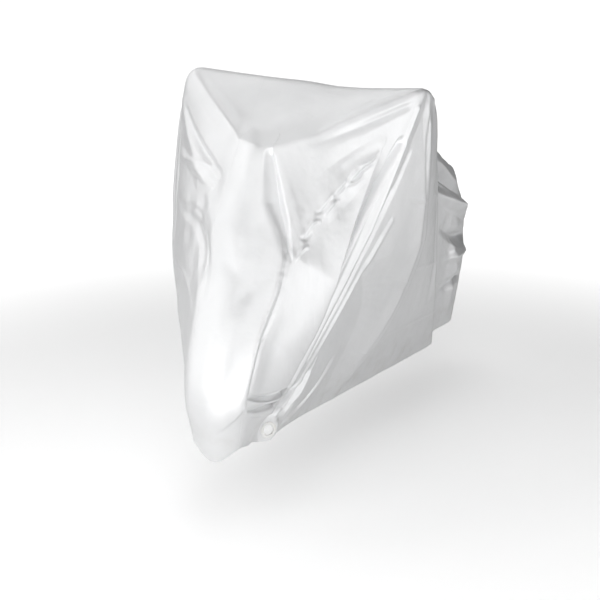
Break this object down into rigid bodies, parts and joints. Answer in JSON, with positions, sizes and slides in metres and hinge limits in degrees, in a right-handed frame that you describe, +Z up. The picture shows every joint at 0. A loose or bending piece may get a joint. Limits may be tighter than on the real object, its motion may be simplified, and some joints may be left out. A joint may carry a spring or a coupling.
{
  "type": "bicycle cover",
  "caption": "Fitted bicycle cover of silver-white coated cloth, draped over a parked bicycle, with hem eyelets near the front wheel.",
  "frame": {"origin": "under the top of the cover, where it rests on the middle of the handlebar, 1.042 m above the floor the bicycle stands on", "axes": "+Z up, -Y towards the bicycle's front, +X towards its rider's left"},
  "size_m": [0.6827, 1.6697, 0.9208],
  "materials": {
    "cloth": "smooth silver-white coating, soft gloss",
    "eyelet": "satin"
  },
  "bodies": {
    "root": {"side_panel_left": "cloth", "side_panel_right": "cloth", "middle_strip": "cloth", "eyelet_strip_left": "cloth", "eyelet_strip_right": "cloth", "eyelet_ring_left": "eyelet", "eyelet_ring_right": "eyelet"}
  },
  "joints": []
}
